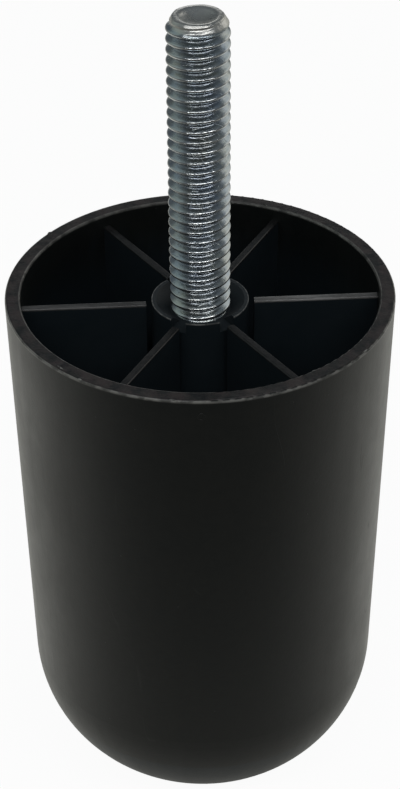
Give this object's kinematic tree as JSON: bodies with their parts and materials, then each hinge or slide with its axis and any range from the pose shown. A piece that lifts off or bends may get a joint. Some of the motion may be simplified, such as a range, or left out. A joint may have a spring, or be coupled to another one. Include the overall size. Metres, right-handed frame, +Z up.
{
  "type": "furniture leg",
  "caption": "Round hollow moulded leg with a rounded foot, inner ribs and a steel threaded stud that screws into the furniture.",
  "frame": {"origin": "centre of the foot's flat underside, where the leg stands on the floor", "axes": "+Z up the leg's axis towards the stud, +X along one of the inner ribs"},
  "size_m": [0.0508, 0.0508, 0.1147],
  "materials": {
    "moulded_plastic": "satin black moulded plastic with a fine grain",
    "zinc_steel": "bright zinc-plated rolled thread"
  },
  "bodies": {
    "root": {"leg_body": "moulded_plastic", "threaded_stud": "zinc_steel"}
  },
  "joints": []
}
